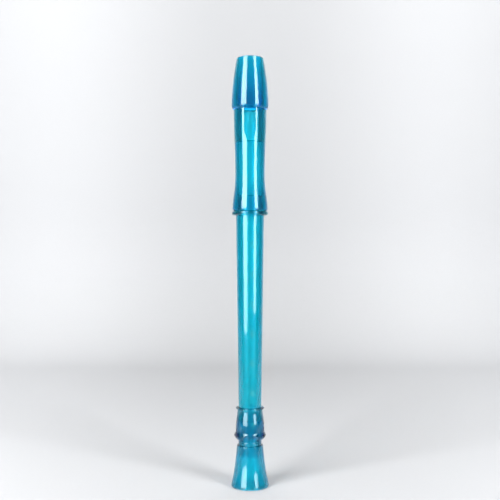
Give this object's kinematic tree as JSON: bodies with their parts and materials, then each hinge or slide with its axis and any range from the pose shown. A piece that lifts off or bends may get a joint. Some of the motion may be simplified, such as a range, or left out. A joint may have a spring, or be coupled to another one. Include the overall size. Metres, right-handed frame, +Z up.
{
  "type": "soprano recorder",
  "caption": "Slim upright wind instrument in clear tinted plastic: a beaked mouthpiece with a windway and window, a tapered tube with finger holes, and a flared foot.",
  "frame": {"origin": "centre of the bell's open end, which is the face that the recorder stands on", "axes": "+Z up the bore from the bell to the beak; -Y is the side of the head's window; +X to the right when the window is seen from in front"},
  "size_m": [0.029, 0.029, 0.33],
  "materials": {
    "foot_plastic": "clear, tinted cyan blue, polished mould",
    "body_plastic": "clear, tinted cyan blue, polished mould",
    "head_plastic": "clear, tinted cyan blue, polished mould"
  },
  "bodies": {
    "foot": {"foot_bell": "foot_plastic"},
    "collar": {"foot_collar": "foot_plastic"},
    "body": {"body_tube": "body_plastic"},
    "ring": {"socket_ring": "head_plastic"},
    "head": {"head_barrel": "head_plastic", "windway_block": "head_plastic", "beak": "head_plastic"}
  },
  "joints": [
    {"name": "foot_turn", "type": "hinge", "parent": "foot", "child": "collar", "pos_m": [0, 0, 0.032], "axis": [0, 0, 1], "continuous": true},
    {"name": "foot_pull", "type": "slide", "parent": "foot", "child": "body", "axis": [0, 0, 1], "range_m": [0, 0.013]},
    {"name": "head_pull", "type": "slide", "parent": "body", "child": "ring", "axis": [0, 0, 1], "range_m": [0, 0.018]},
    {"name": "head_turn", "type": "hinge", "parent": "ring", "child": "head", "pos_m": [0, 0, 0.21], "axis": [0, 0, 1], "continuous": true}
  ]
}
